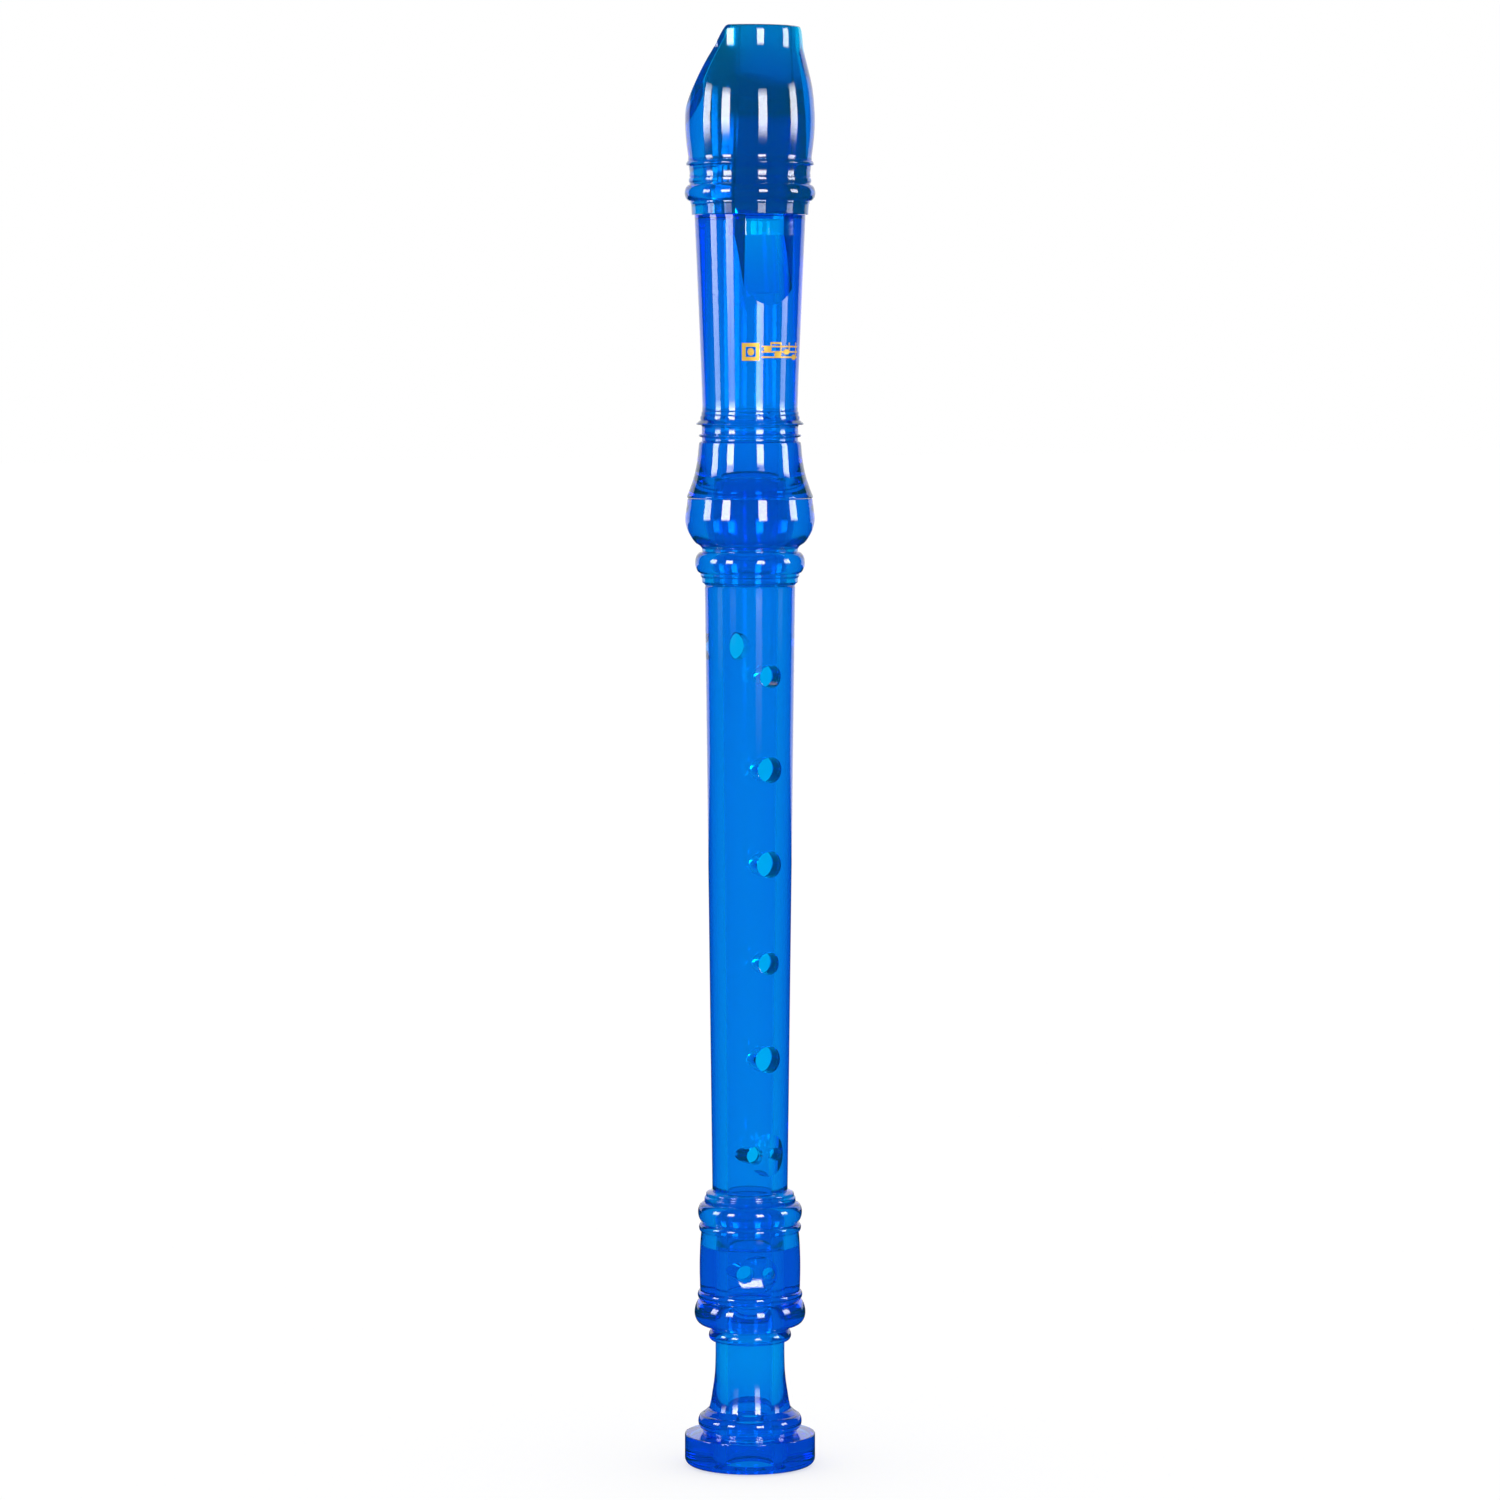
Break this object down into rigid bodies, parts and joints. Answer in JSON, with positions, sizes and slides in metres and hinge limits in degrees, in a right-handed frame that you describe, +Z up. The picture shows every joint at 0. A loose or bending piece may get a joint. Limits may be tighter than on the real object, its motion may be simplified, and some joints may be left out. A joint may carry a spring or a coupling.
{
  "type": "soprano recorder",
  "caption": "Upright soprano recorder in three plug-together joints of clear blue plastic, with a beak mouthpiece, window, thumb hole, finger holes and ringed foot.",
  "frame": {"origin": "centre of the foot joint's base, on the bore's axis", "axes": "+Z up the bore towards the beak; the body joint's finger holes face -Y and its thumb hole +Y"},
  "size_m": [0.03, 0.03, 0.33],
  "materials": {
    "clear_blue": "polished clear moulded plastic",
    "block_blue": "clear moulded plastic, satin on the windway floor"
  },
  "bodies": {
    "body": {"body_joint": "clear_blue"},
    "head": {"mouthpiece": "clear_blue", "windway_block": "block_blue", "head_tube": "clear_blue", "socket_ring": "clear_blue"},
    "foot": {"foot_joint": "clear_blue"}
  },
  "joints": [
    {"name": "head_slide", "type": "slide", "parent": "body", "child": "head", "axis": [0, 0, 1], "range_m": [0, 0.02]},
    {"name": "foot_turn", "type": "hinge", "parent": "body", "child": "foot", "pos_m": [0, 0, 0.0636], "axis": [0, 0, 1], "continuous": true}
  ]
}
